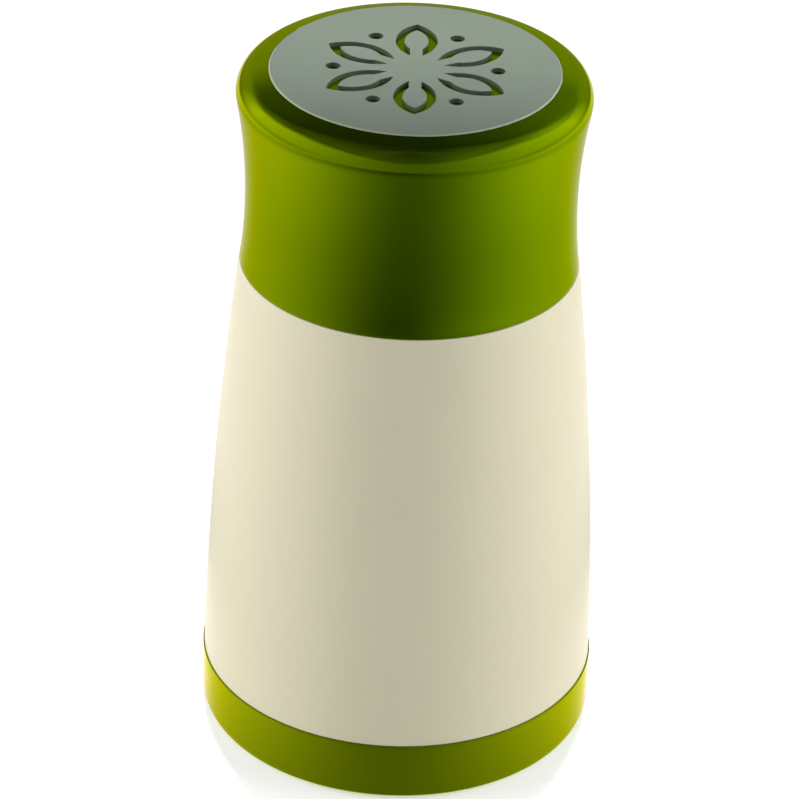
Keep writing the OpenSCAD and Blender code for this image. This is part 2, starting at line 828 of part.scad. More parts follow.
// A square bar on the axis
module square_bar(w, z, h) {
    translate([-w / 2, -w / 2, z]) cube([w, w, h]);
}

module rotor_hub() {
    pin_z = rotor_clip_z - rotor_pin_end;
    color(steel) difference() {
        union() {
            translate([0, 0, blade_top]) cylinder(r = rotor_flange_r, h = rotor_flange_t);
            translate([0, 0, blade_top]) cylinder(r = rotor_hub_r, h = rotor_hub_h);
            square_bar(blade_drive_w, blade_z, blade_t + eps);
            translate([0, 0, pin_z]) cylinder(r = rotor_pin_r, h = blade_z - pin_z + eps);
        }
        square_bar(socket_w, shaft_z - join, rotor_hub_top - shaft_z + 2 * join);
        clip_cut(rotor_pin_r - clip_groove, rotor_clip_z);
    }
}

module rotor_blade() {
    color(steel) difference() {
        intersection() {
            union() {
                translate([0, 0, blade_z]) cylinder(r = rotor_flange_r, h = blade_t);
                for (i = [0 : arm_count - 1])
                    rotate(360 / arm_count * i) arm();
            }
            translate([0, 0, blade_z - eps]) cylinder(r = blade_r, h = blade_t + 2 * eps);
        }
        square_bar(blade_drive_w + 2 * press_gap, blade_z - eps, blade_t + 2 * eps);
    }
}

module rotor_washer() {
    color(bronze) tube(rotor_pin_r + run_gap, rotor_pin_r + rotor_washer_w, rotor_washer_z, rotor_washer_t);
}

module rotor_clip() {
    color(steel) clip(rotor_pin_r - clip_groove, rotor_clip_z);
}

// Half section of the base ring without its bayonet
module base_section() {
    difference() {
        union() {
            polygon([
                [rest_r, 0], [base_corner.x, 0], base_corner, base_side, [base_r, base_h - base_bevel],
                [base_r - base_bevel, base_h], [ledge_r, base_h], [ledge_r, outlet_h], [rest_r, outlet_h]
            ]);
            translate(base_corner) circle(r = base_round);
        }
        translate([0, ledge_z]) square([base_bore_r, base_h - ledge_z + eps]);
        translate([0, -eps]) square([rest_r, outlet_h + eps]);
    }
}

module base_ring() {
    lug_step = 360 / lug_count;
    half = lug_arc / 2 + lug_play;
    groove_z = lug_z - loose_gap;
    color(green) difference() {
        rotate_extrude() base_section();
        for (i = [0 : lug_count - 1]) {
            locked = lug_step * i;
            tube_arc(
                base_bore_r - join, groove_r, groove_z, groove_top - groove_z,
                locked - lock_turn - half, locked + half
            );
            tube_arc(
                base_bore_r - join, groove_r, groove_z, base_h - groove_z + eps,
                locked - lock_turn - half, locked - lock_turn + half
            );
        }
    }
}

cap();
top_disc();
cap_screw();
screw_washer();
drive_shaft();
shaft_clip();
stop_clip();
thrust_washer();
collar();
collar_seal();
shaft_bush();
press_spring();
press_plate();
press_wiper();
body_shell();
hopper_liner();
stator_blade();
stator_gasket();
rotor_hub();
rotor_blade();
rotor_washer();
rotor_clip();
base_ring();
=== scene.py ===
"""Smooth mouldings, finishes and studio for the herb mill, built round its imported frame. Metres."""
from math import acos, atan2, ceil, cos, hypot, pi, radians, sin, sqrt

import bpy
from bpy.props import FloatProperty, FloatVectorProperty, IntProperty, PointerProperty
from mathutils import Matrix, Vector


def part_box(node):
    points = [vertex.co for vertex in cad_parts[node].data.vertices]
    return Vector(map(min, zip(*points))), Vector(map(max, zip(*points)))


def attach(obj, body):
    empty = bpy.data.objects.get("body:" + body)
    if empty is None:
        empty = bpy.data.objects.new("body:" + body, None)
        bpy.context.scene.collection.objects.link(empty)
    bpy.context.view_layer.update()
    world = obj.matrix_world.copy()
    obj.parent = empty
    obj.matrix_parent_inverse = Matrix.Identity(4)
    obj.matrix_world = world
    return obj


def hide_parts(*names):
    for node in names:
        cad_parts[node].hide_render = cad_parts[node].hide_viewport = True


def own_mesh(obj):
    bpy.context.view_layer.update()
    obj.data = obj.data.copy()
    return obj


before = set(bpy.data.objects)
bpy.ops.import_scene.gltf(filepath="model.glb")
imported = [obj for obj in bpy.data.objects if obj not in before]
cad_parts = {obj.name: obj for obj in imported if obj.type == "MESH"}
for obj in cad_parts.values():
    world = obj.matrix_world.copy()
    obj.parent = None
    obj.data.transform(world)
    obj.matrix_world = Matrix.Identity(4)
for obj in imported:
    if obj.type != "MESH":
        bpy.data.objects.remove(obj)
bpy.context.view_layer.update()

bl_info = {
    "name": "Herb mill",
    "version": (1, 0, 0),
    "blender": (4, 5, 0),
    "location": "View3D > Sidebar > Herb mill",
    "description": "Builds the mill's smooth mouldings, its finishes and its studio round the packed frame",
    "category": "Object",
}

MM = 0.001
FULL_TURN = 2 * pi

# Fineness of the meshes
WELD = 2e-7
SMOOTH_ANGLE = radians(24)
ARC_STEP = radians(7)
FINE_STEP, SIDE_STEP, INNER_STEP = 0.8 * MM, 2 * MM, 5 * MM
CUT_STEP = radians(2.5)
SOCKET_STEPS, COIL_STEPS, WIRE_STEPS, TENT_STEPS = 64, 36, 3, 96

# How far ribs and cutters reach into the faces that they meet, and past open ones
OVERLAP, RIB_BITE, CLEAR = 0.5 * MM, 0.3 * MM, MM

# Rise of the spring's closed end turns, in wire diameters
END_PITCH = 1.05

# Finishes: range of a noise texture in use, depth of a bump, and width and fade of the painted highlight
# round the disc's edge
NOISE_LOW, NOISE_HIGH = 0.2, 0.8
BUMP_DEPTH = 0.02 * MM
EDGE_W, EDGE_FADE = 0.3 * MM, 0.1 * MM

# Stage: width of the floor, and the parts of the way round between which the mill's side begins
FLOOR_W = 6.0
BESIDE = (0.2, 0.45)


def low_z(node):
    """Height of a CAD node's underside."""
    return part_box(node)[0].z


def high_z(node):
    """Height of a CAD node's top."""
    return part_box(node)[1].z


def reach(node):
    """Largest radius of a CAD node that is round about the axis."""
    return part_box(node)[1].x


def length(name, description, millimetres):
    """A length property, given in millimetres."""
    return FloatProperty(name=name, description=description, default=millimetres * MM, min=0.0,
                         precision=5, subtype="DISTANCE", unit="LENGTH")


def count(name, description, default):
    """A whole-number property."""
    return IntProperty(name=name, description=description, default=default, min=1)


def angle(name, description, degrees):
    """An angle property, given in degrees."""
    return FloatProperty(name=name, description=description, default=radians(degrees),
                         subtype="ANGLE", unit="ROTATION")


def share(name, description, default):
    """A property from 0 to 1."""
    return FloatProperty(name=name, description=description, default=default, min=0.0, max=1.0,
                         subtype="FACTOR")


def colour(name, description, red, green, blue):
    """A linear colour property."""
    return FloatVectorProperty(name=name, description=description, default=(red, green, blue),
                               min=0.0, max=1.0, size=3, subtype="COLOR")


class MillSizes(bpy.types.PropertyGroup):
    """Sizes of the smooth mouldings."""

    turn_steps: count("Turning steps", "Faces round a turned piece", 192)

    seam_close: length("Seam closing", "How far cap and body reach down into their seams", 0.1)
    cap_foot_r: length("Cap foot radius", "Radius of the cap's lower edge", 30.15)
    cap_wall: length("Cap wall", "Wall of the cap", 2.2)
    cap_bevel: length("Cap edge round", "Round of the cap's lower edge", 0.12)
    waist_depth: length("Waist depth", "How far the waist stands in from the lower edge", 0.8)
    waist_h: length("Waist height", "Height of the waist above the lower edge", 12.8)
    rim_round: length("Rim round", "Round of the cap's rim", 4.0)
    rim_drop: length("Rim drop", "Height of the rim's middle below the shoulder's top", 4.45)
    disc_gap: length("Disc gap", "Gap round the disc", 0.05)
    cap_plate_t: length("Cap plate", "Thickness of the plate under the disc", 2.6)
    cap_hub_r: length("Cap hub radius", "Radius of the hub inside the cap", 7.34)
    cap_bore_r: length("Cap hub bore", "Radius of the hub's bore round the journal", 3.2)
    screw_hole_r: length("Screw hole", "Radius of the screw's hole", 1.75)
    screw_well_r: length("Screw well", "Radius of the well above the screw", 4.8)
    tip_len: length("Drive socket length", "Length of the two-flat socket", 9.0)
    tip_r: length("Drive socket radius", "Radius of the two-flat socket", 2.95)
    tip_half: length("Drive socket half width", "Half the distance across the socket's flats", 2.25)
    rib_w: length("Rib width", "Width of the ribs inside the cap", 1.6)
    cap_rib_h: length("Rib depth", "Depth of the ribs inside the cap", 9.0)
    rib_count: count("Ribs", "Number of ribs inside the cap", 6)

    body_foot_r: length("Body foot radius", "Radius of the body's lower edge", 35.85)
    body_top_r: length("Body top radius", "Radius of the body's top edge", 30.25)
    body_curve_r: length("Body curve", "Radius of the long curve of the body's side", 800.0)
    body_wall: length("Body wall", "Wall of the body", 2.2)
    body_bevel: length("Body edge round", "Round of the body's lower edge", 0.2)
    neck_bevel: length("Neck edge round", "Round of the body's top edge", 0.1)
    neck_r: length("Neck bore", "Radius of the neck's bore", 26.5)
    neck_t: length("Neck flange", "Thickness of the flange that closes in the neck", 2.5)
    neck_land_h: length("Neck land", "Height of the land that holds the liner's top", 6.0)
    liner_fit_r: length("Liner fit", "Radius of that land", 27.55)
    key_w: length("Key slot width", "Width of the slots for the collar's keys", 8.6)
    key_r: length("Key slot reach", "Radius of the slots for the collar's keys", 28.1)
    key_floor: length("Key slot floor", "Material left under those slots", 0.6)

    base_r: length("Base radius", "Radius of the base ring's top edge", reach("base_ring") / MM)
    base_draft: length("Base draft", "Narrowing of the ring towards its foot", 0.1)
    base_round: length("Base round", "Round of the ring's lower edge", 2.5)
    base_bevel: length("Base edge round", "Round of the ring's top edge", 0.2)
    rest_w: length("Rest width", "Width of the face that the mill stands on", 1.6)
    ledge_t: length("Ledge", "Thickness of the ledge that carries the cutter", 2.2)
    ledge_r: length("Ledge bore", "Radius of the ledge's bore", 28.4)
    base_wall: length("Base wall", "Wall outside the bayonet groove", 1.8)
    lug_h: length("Groove depth", "Depth of the bayonet groove", 1.5)
    groove_rise: length("Groove foot", "Height of the groove's foot above the slotted plate", 0.6)
    groove_h: length("Groove height", "Height of the bayonet groove", 2.4)
    lug_count: count("Lugs", "Number of bayonet lugs", 3)
    lug_half: angle("Half lug", "Half the angle of an entry slot", 15.0)
    lock_turn: angle("Lock turn", "Turn that unlocks the ring", 35.0)

    flat_gap: length("Flat gap", "Gap between faces that lie on each other", 0.1)
    spring_wire_d: length("Spring wire", "Diameter of the spring's wire", 1.0)
    spring_r: length("Spring radius", "Radius of the middle of the spring's wire", 8.04)
    spring_turns: count("Spring turns", "Turns of the spring", 11)


class MillFinishes(bpy.types.PropertyGroup):
    """Colours of the finishes."""

    lime: colour("Lime", "Lacquer of the cap", 0.25, 0.41, 0.0)
    ring: colour("Ring lime", "Lacquer of the base ring", 0.32, 0.42, 0.0)
    cream: colour("Cream", "Plastic of the body", 0.80, 0.755, 0.555)
    sage: colour("Sage", "Satin disc in the cap's top", 0.178, 0.217, 0.172)
    # Painted highlight: this paler colour runs all round the disc's edge, where light catches its chamfer
    sage_highlight: colour("Sage edge", "Painted edge highlight of that disc", 0.36, 0.40, 0.30)
    white: colour("White", "Plastic of the inner pieces", 0.78, 0.78, 0.74)
    steel: colour("Steel", "Shaft, blades, spring and clips", 0.62, 0.62, 0.62)
    bronze: colour("Bronze", "Bush and slip washer", 0.55, 0.36, 0.16)
    silicone: colour("Silicone", "Seals and wiper", 0.62, 0.66, 0.62)


class MillStage(bpy.types.PropertyGroup):
    """Camera and lights."""

    camera_back: length("Camera distance", "How far the camera stands in front of the axis", 682.48)
    camera_h: length("Camera height", "Height of the camera above the floor", 464.01)
    camera_pitch: angle("Camera pitch", "How far the camera looks down", 30.415)
    camera_yaw: angle("Camera yaw", "How far the camera looks to the right", -0.068)
    camera_roll: angle("Camera roll", "How far the picture is turned", -1.909)
    camera_lens: FloatProperty(name="Lens", description="Focal length in millimetres", default=196.65,
                               min=1.0)
    side_power: FloatProperty(name="Side lamps", description="Power of each side lamp", default=2.75,
                              min=0.0, subtype="POWER", unit="POWER")
    back_power: FloatProperty(name="Back lamp", description="Power of the back lamp", default=0.6,
                              min=0.0, subtype="POWER", unit="POWER")
    disc_power: FloatProperty(name="Disc lamp", description="Power of the narrow lamp high over the disc",
                              default=0.09, min=0.0, subtype="POWER", unit="POWER")
    ambient: share("Ambient", "Strength of the even light from all round", 0.43)
    floor: colour("Floor", "Colour of the floor", 0.80, 0.80, 0.80)
    floor_lift: share("Floor lift", "White added to the floor where it is seen", 0.45)
    floor_far: share("Far floor lift", "White added to the floor far from the mill", 0.75)
    floor_near_r: length("Near floor", "Distance from the axis where the far lift begins", 400.0)
    floor_far_r: length("Far floor", "Distance from the axis where the far lift is whole", 1200.0)
    floor_hole_r: length("Floor opening", "Radius of the opening that the mill's foot covers", 31.0)
    tent_r: length("Tent radius", "Radius of the tent that the mill mirrors", 900.0)
    sheet_back: share("Sheet back", "Brightness of the mirrored floor behind the mill", 0.77)
    tent_front: share("Tent front", "Brightness of the tent ahead of the mill", 0.1)
    tent_side: share("Tent sides", "Brightness of the tent beside the mill", 1.0)
    tent_back: share("Tent back", "Brightness of the tent behind the mill", 0.4)


# Modelling helpers


def deselect():
    """Leave nothing selected, so that an operator acts on the new piece alone."""
    bpy.ops.object.select_all(action="DESELECT")


def pick(*pieces):
    """Select these pieces alone, and make the first one active."""
    deselect()
    for piece in pieces:
        piece.select_set(True)
    bpy.context.view_layer.objects.active = pieces[0]


def added(name):
    """The piece that an operator has just added, named."""
    piece = bpy.context.active_object
    piece.name = piece.data.name = name
    return piece


def start_point(name, location):
    """A new piece of one vertex, in edit mode."""
    deselect()
    bpy.ops.mesh.primitive_plane_add(size=MM, location=location)
    piece = added(name)
    bpy.ops.object.mode_set(mode="EDIT")
    bpy.ops.mesh.merge(type="CENTER")
    return piece


def draw_path(points):
    """Extrude the selected vertex from point to point."""
    for here, there in zip(points, points[1:]):
        step = tuple(b - a for a, b in zip(here, there))
        bpy.ops.mesh.extrude_vertices_move(TRANSFORM_OT_translate={"value": step})


def close_piece(piece):
    """Leave edit mode with merged doubles, outward faces and the place in the mesh."""
    bpy.ops.mesh.select_all(action="SELECT")
    bpy.ops.mesh.remove_doubles(threshold=WELD)
    bpy.ops.mesh.normals_make_consistent(inside=False)
    bpy.ops.object.mode_set(mode="OBJECT")
    bpy.ops.object.transform_apply(location=True, rotation=True, scale=True)
    return piece


def turn(name, outline, steps, sweep=FULL_TURN, start=0.0):
    """Spin a closed half section, given as (radius, height), anticlockwise about the axis."""
    points = [(r * cos(start), r * sin(start), z) for r, z in outline]
    piece = start_point(name, points[0])
    draw_path(points + points[:1])
    bpy.ops.mesh.select_all(action="SELECT")
    bpy.ops.mesh.remove_doubles(threshold=WELD)
    whole = sweep == FULL_TURN
    if not whole:
        bpy.ops.mesh.edge_face_add()
    bpy.ops.mesh.select_all(action="SELECT")
    # The operator itself turns clockwise
    bpy.ops.mesh.spin(steps=steps, angle=-sweep, use_auto_merge=whole, center=(0, 0, 0), axis=(0, 0, 1))
    if not whole:
        close_ends()
    return close_piece(piece)


def close_ends():
    """Fill the open ends of a part turn."""
    bpy.ops.mesh.select_all(action="DESELECT")
    bpy.ops.mesh.select_mode(type="EDGE")
    bpy.ops.mesh.select_non_manifold(use_wire=False, use_multi_face=False, use_non_contiguous=False,
                                     use_verts=False)
    bpy.ops.mesh.edge_face_add()
    bpy.ops.mesh.select_mode(type="VERT")


def block(name, low, high):
    """A box between two corners, as a cutter or a rib."""
    deselect()
    middle = [(a + b) / 2 for a, b in zip(low, high)]
    bpy.ops.mesh.primitive_cube_add(size=1.0, location=middle, scale=[b - a for a, b in zip(low, high)])
    piece = added(name)
    bpy.ops.object.transform_apply(location=True, rotation=True, scale=True)
    return piece


def turned_copies(piece, number):
    """The piece and copies of it, evenly spaced about the axis, joined."""
    copies = [piece]
    for i in range(1, number):
        copy = piece.copy()
        copy.data = piece.data.copy()
        bpy.context.collection.objects.link(copy)
        copy.data.transform(Matrix.Rotation(FULL_TURN * i / number, 4, "Z"))
        copies.append(copy)
    pick(*copies)
    bpy.ops.object.join()
    return piece


def combine(piece, tool, operation):
    """Cut a tool from a piece or join it on, weld the tiny edges that this leaves, and remove the tool."""
    pick(piece)
    modifier = piece.modifiers.new(operation.title(), "BOOLEAN")
    modifier.operation = operation
    modifier.solver = "EXACT"
    modifier.object = tool
    bpy.ops.object.modifier_apply(modifier=modifier.name)
    bpy.ops.object.mode_set(mode="EDIT")
    close_piece(piece)
    bpy.data.objects.remove(tool)


def smooth(piece):
    """Smooth shading with the true corners kept sharp."""
    pick(piece)
    bpy.ops.object.shade_smooth_by_angle(angle=SMOOTH_ANGLE)


def place(piece, body, slot, material, *nodes):
    """Dress a finished piece and tie it to the frame."""
    smooth(piece)
    piece.data.materials.clear()
    piece.data.materials.append(material)
    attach(piece, body)
    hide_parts(*nodes)


def dress(material, *nodes):
    """Give CAD nodes a finish."""
    for node in nodes:
        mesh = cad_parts[node].data
        mesh.materials.clear()
        mesh.materials.append(material)


# Half sections


def arc(centre, radius, start, end):
    """Points of an arc in a half section, both ends included."""
    steps = max(2, ceil(abs(end - start) / ARC_STEP))
    turns = [start + (end - start) * i / steps for i in range(steps + 1)]
    return [(centre[0] + radius * cos(t), centre[1] + radius * sin(t)) for t in turns]


def side_points(radius_at, low, high, step):
    """Points of a long curve, from one height to another."""
    steps = max(2, ceil(abs(high - low) / step))
    heights = [low + (high - low) * i / steps for i in range(steps + 1)]
    return [(radius_at(z), z) for z in heights]


def leg(hypotenuse, other):
    """A right triangle's other leg."""
    return sqrt(hypotenuse * hypotenuse - other * other)


def tangent_angle(point, centre, radius):
    """Angle, seen from a circle's centre, where the outer tangent from a point touches it."""
    dx, dy = point[0] - centre[0], point[1] - centre[1]
    return atan2(dy, dx) - acos(radius / hypot(dx, dy))


def cap_section(s):
    """Closed half section of the cap with its hub."""
    foot, top = low_z("cap") - s.seam_close, high_z("cap")
    seat, disc_r = low_z("top_disc"), reach("top_disc")
    curve_r = (s.waist_h ** 2 + s.waist_depth ** 2) / (2 * s.waist_depth)
    waist = (s.cap_foot_r - s.waist_depth + curve_r, foot + s.waist_h)
    rim_z = top - s.rim_drop
    rim = (waist[0] - leg(curve_r + s.rim_round, rim_z - waist[1]), rim_z)
    rim_start = atan2(waist[1] - rim[1], waist[0] - rim[0])
    shoulder = (disc_r + s.disc_gap, top)
    rim_end = tangent_angle(shoulder, rim, s.rim_round)
    rim_foot_z = rim[1] + s.rim_round * sin(rim_start)
    plate = seat - s.cap_plate_t

    def outside(z):
        return waist[0] - leg(curve_r, z - waist[1])

    def inside(z):
        return min(waist[0] - leg(curve_r + s.cap_wall, z - waist[1]), s.cap_foot_r - s.cap_wall)

    bevel = s.cap_bevel
    foot_round = arc((outside(foot + bevel) - bevel, foot + bevel), bevel, -pi / 2, 0)
    side = side_points(outside, foot + bevel, rim_foot_z, FINE_STEP)
    rim_arc = arc(rim, s.rim_round, rim_start, rim_end)
    tip_z = high_z("drive_shaft") - s.tip_len
    hub = high_z("thrust_washer") + s.flat_gap
    screw_seat = low_z("screw_washer")
    return foot_round[:-1] + side[:-1] + rim_arc + [
        shoulder, (shoulder[0], seat), (s.screw_well_r, seat), (s.screw_well_r, screw_seat),
        (s.screw_hole_r, screw_seat), (s.screw_hole_r, tip_z), (s.cap_bore_r, tip_z),
        (s.cap_bore_r, hub), (s.cap_hub_r, hub), (s.cap_hub_r, plate),
    ] + side_points(inside, plate, foot, SIDE_STEP)


def body_section(s):
    """Closed half section of the body shell."""
    foot, top = low_z("body_shell") - s.seam_close, high_z("body_shell")
    run, rise = s.body_top_r - s.body_foot_r, top - foot
    half = hypot(run, rise) / 2
    back = leg(s.body_curve_r, half)
    centre = ((s.body_foot_r + s.body_top_r) / 2 - back * rise / (2 * half),
              (foot + top) / 2 + back * run / (2 * half))

    def outside(z):
        return centre[0] + leg(s.body_curve_r, z - centre[1])

    def inside(z):
        return centre[0] + leg(s.body_curve_r - s.body_wall, z - centre[1])

    foot_round = arc((outside(foot + s.body_bevel) - s.body_bevel, foot + s.body_bevel), s.body_bevel,
                     -pi / 2, 0)
    neck_round = arc((outside(top - s.neck_bevel) - s.neck_bevel, top - s.neck_bevel), s.neck_bevel,
                     0, pi / 2)
    side = side_points(outside, foot + s.body_bevel, top - s.neck_bevel, SIDE_STEP)
    flange = top - s.neck_t
    land = flange - s.neck_land_h
    return foot_round[:-1] + side[:-1] + neck_round + [
        (s.neck_r, top), (s.neck_r, flange), (s.liner_fit_r, flange), (s.liner_fit_r, land),
    ] + side_points(inside, land, foot, INNER_STEP)


def base_section(s):
    """Closed half section of the base ring, without its bayonet."""
    top = high_z("base_ring")
    corner = (s.base_r - s.base_draft - s.base_round, s.base_round)
    edge = (s.base_r, top - s.base_bevel)
    side_turn = tangent_angle(edge, corner, s.base_round)
    rest_r = corner[0] - s.rest_w
    bore = s.base_r - s.base_wall - s.lug_h
    ledge = low_z("stator_blade") - s.flat_gap
    outlet = ledge - s.ledge_t
    return arc(corner, s.base_round, -pi / 2, side_turn) + arc(
        (s.base_r - s.base_bevel, edge[1]), s.base_bevel, 0, pi / 2
    ) + [
        (bore, top), (bore, ledge), (s.ledge_r, ledge), (s.ledge_r, outlet), (rest_r, outlet),
        (rest_r, 0.0),
    ]


# Finishes


def effect(name, inputs, outputs):
    """A new shader node group with its sockets."""
    tree = bpy.data.node_groups.new(name, "ShaderNodeTree")
    for label, kind, default in inputs:
        socket = tree.interface.new_socket(label, in_out="INPUT", socket_type=kind)
        socket.default_value = default
    for label, kind in outputs:
        tree.interface.new_socket(label, in_out="OUTPUT", socket_type=kind)
    return tree, tree.nodes.new("NodeGroupInput"), tree.nodes.new("NodeGroupOutput")


def link(tree, source, target):
    """Link two sockets."""
    tree.links.new(source, target)


def noise(tree, vector, scale, detail):
    """A noise texture on a vector."""
    node = tree.nodes.new("ShaderNodeTexNoise")
    node.inputs["Scale"].default_value = scale
    node.inputs["Detail"].default_value = detail
    link(tree, vector, node.inputs["Vector"])
    return node.outputs["Fac"]


def stretched(tree, scale):
    """Object coordinates, stretched."""
    coordinates = tree.nodes.new("ShaderNodeTexCoord")
    mapping = tree.nodes.new("ShaderNodeMapping")
    mapping.inputs["Scale"].default_value = scale
    link(tree, coordinates.outputs["Object"], mapping.inputs["Vector"])
    return mapping.outputs["Vector"]


def axis_distance(tree):
    """How far a place lies from the axis."""
    node = tree.nodes.new("ShaderNodeVectorMath")
    node.operation = "LENGTH"
    link(tree, stretched(tree, (1, 1, 0)), node.inputs[0])
    return node.outputs["Value"]


def spread(tree, value, low, high):
    """A noise value spread between two sockets or numbers."""
    node = tree.nodes.new("ShaderNodeMapRange")
    node.inputs["From Min"].default_value = NOISE_LOW
    node.inputs["From Max"].default_value = NOISE_HIGH
    link(tree, value, node.inputs["Value"])
    for label, bound in (("To Min", low), ("To Max", high)):
        if isinstance(bound, (int, float)):
            node.inputs[label].default_value = bound
        else:
            link(tree, bound, node.inputs[label])
    return node.outputs["Result"]


def calculated(tree, operation, *values):
    """The result of a sum on sockets and numbers."""
    node = tree.nodes.new("ShaderNodeMath")
    node.operation = operation
    for value, socket in zip(values, node.inputs):
        if isinstance(value, (int, float)):
            socket.default_value = value
        else:
            link(tree, value, socket)
    return node.outputs["Value"]


def faded(tree, value, given, wanted, form="LINEAR"):
    """A value carried from one range to another, held at its ends."""
    node = tree.nodes.new("ShaderNodeMapRange")
    node.interpolation_type = form
    bounds = zip(("From Min", "From Max", "To Min", "To Max"), (*given, *wanted))
    for label, bound in bounds:
        node.inputs[label].default_value = bound
    link(tree, value, node.inputs["Value"])
    return node.outputs["Result"]


def mixed(tree, part, first, second):
    """The first value at part 0 and the second at part 1."""
    return calculated(tree, "MULTIPLY_ADD", calculated(tree, "SUBTRACT", second, first), part, first)


def tinted(tree, colour_socket, value):
    """A colour times a value."""
    node = tree.nodes.new("ShaderNodeVectorMath")
    node.operation = "SCALE"
    link(tree, colour_socket, node.inputs[0])
    link(tree, value, node.inputs["Scale"])
    return node.outputs["Vector"]


def bumped(tree, height, strength):
    """A normal from a height."""
    node = tree.nodes.new("ShaderNodeBump")
    node.inputs["Distance"].default_value = BUMP_DEPTH
    link(tree, strength, node.inputs["Strength"])
    link(tree, height, node.inputs["Height"])
    return node.outputs["Normal"]


def moulded_group():
    """Slight mottle, handling marks and orange peel of a moulded or lacquered surface."""
    tree, given, result = effect(
        "Moulded surface",
        [("Color", "NodeSocketColor", (0.8, 0.8, 0.8, 1.0)), ("Shade Low", "NodeSocketFloat", 0.96),
         ("Rough Low", "NodeSocketFloat", 0.25), ("Rough High", "NodeSocketFloat", 0.35),
         ("Peel", "NodeSocketFloat", 0.1)],
        [("Color", "NodeSocketColor"), ("Roughness", "NodeSocketFloat"), ("Normal", "NodeSocketVector")])
    plain = stretched(tree, (1, 1, 1))
    shade = spread(tree, noise(tree, plain, scale=45, detail=3), given.outputs["Shade Low"], 1.0)
    link(tree, tinted(tree, given.outputs["Color"], shade), result.inputs["Color"])
    marks = noise(tree, stretched(tree, (1, 1, 0.45)), scale=90, detail=2)
    link(tree, spread(tree, marks, given.outputs["Rough Low"], given.outputs["Rough High"]),
         result.inputs["Roughness"])
    peel = noise(tree, plain, scale=900, detail=1)
    link(tree, bumped(tree, peel, given.outputs["Peel"]), result.inputs["Normal"])
    return tree


def edge_highlight_group():
    """A colour that turns paler beyond a radius from the axis: a painted highlight along an edge."""
    tree, given, result = effect(
        "Painted edge highlight",
        [("Color", "NodeSocketColor", (0.5, 0.5, 0.5, 1.0)),
         ("Edge Color", "NodeSocketColor", (0.8, 0.8, 0.8, 1.0)), ("Radius", "NodeSocketFloat", 0.02)],
        [("Color", "NodeSocketColor")])
    beyond = calculated(tree, "SUBTRACT", axis_distance(tree), given.outputs["Radius"])
    mix = tree.nodes.new("ShaderNodeMix")
    mix.data_type = "RGBA"
    link(tree, faded(tree, beyond, (0, EDGE_FADE), (0, 1)), mix.inputs["Factor"])
    link(tree, given.outputs["Color"], mix.inputs["A"])
    link(tree, given.outputs["Edge Color"], mix.inputs["B"])
    link(tree, mix.outputs["Result"], result.inputs["Color"])
    return tree


def paint_edge_highlight(material, group, tint, radius):
    """Paint a paler edge highlight on a material that takes its colour from a group."""
    tree = material.node_tree
    target = tree.nodes["Principled BSDF"].inputs["Base Color"]
    node = tree.nodes.new("ShaderNodeGroup")
    node.node_tree = group
    node.inputs["Edge Color"].default_value = (*tint, 1.0)
    node.inputs["Radius"].default_value = radius
    link(tree, target.links[0].from_socket, node.inputs["Color"])
    link(tree, node.outputs["Color"], target)


def ground_group():
    """Fine grinding lines of a metal surface."""
    tree, given, result = effect(
        "Ground metal",
        [("Color", "NodeSocketColor", (0.6, 0.6, 0.6, 1.0)), ("Along", "NodeSocketVector", (1, 1, 1)),
         ("Shade Low", "NodeSocketFloat", 0.8), ("Rough Low", "NodeSocketFloat", 0.22),
         ("Rough High", "NodeSocketFloat", 0.4), ("Depth", "NodeSocketFloat", 0.2)],
        [("Color", "NodeSocketColor"), ("Roughness", "NodeSocketFloat"), ("Normal", "NodeSocketVector")])
    coordinates = tree.nodes.new("ShaderNodeTexCoord")
    mapping = tree.nodes.new("ShaderNodeMapping")
    link(tree, coordinates.outputs["Object"], mapping.inputs["Vector"])
    link(tree, given.outputs["Along"], mapping.inputs["Scale"])
    lines = noise(tree, mapping.outputs["Vector"], scale=60, detail=4)
    link(tree, tinted(tree, given.outputs["Color"], spread(tree, lines, given.outputs["Shade Low"], 1.0)),
         result.inputs["Color"])
    link(tree, spread(tree, lines, given.outputs["Rough Low"], given.outputs["Rough High"]),
         result.inputs["Roughness"])
    link(tree, bumped(tree, lines, given.outputs["Depth"]), result.inputs["Normal"])
    return tree


def finish(name, group, tint, group_values, **shader_values):
    """A material that takes its colour, roughness and normal from a group."""
    material = bpy.data.materials.new(name)
    material.use_nodes = True
    tree = material.node_tree
    shader = tree.nodes["Principled BSDF"]
    node = tree.nodes.new("ShaderNodeGroup")
    node.node_tree = group
    node.inputs["Color"].default_value = (*tint, 1.0)
    for label, value in group_values.items():
        node.inputs[label].default_value = value
    link(tree, node.outputs["Color"], shader.inputs["Base Color"])
    link(tree, node.outputs["Roughness"], shader.inputs["Roughness"])
    link(tree, node.outputs["Normal"], shader.inputs["Normal"])
    for label, value in shader_values.items():
        shader.inputs[label.replace("_", " ")].default_value = value
    return material


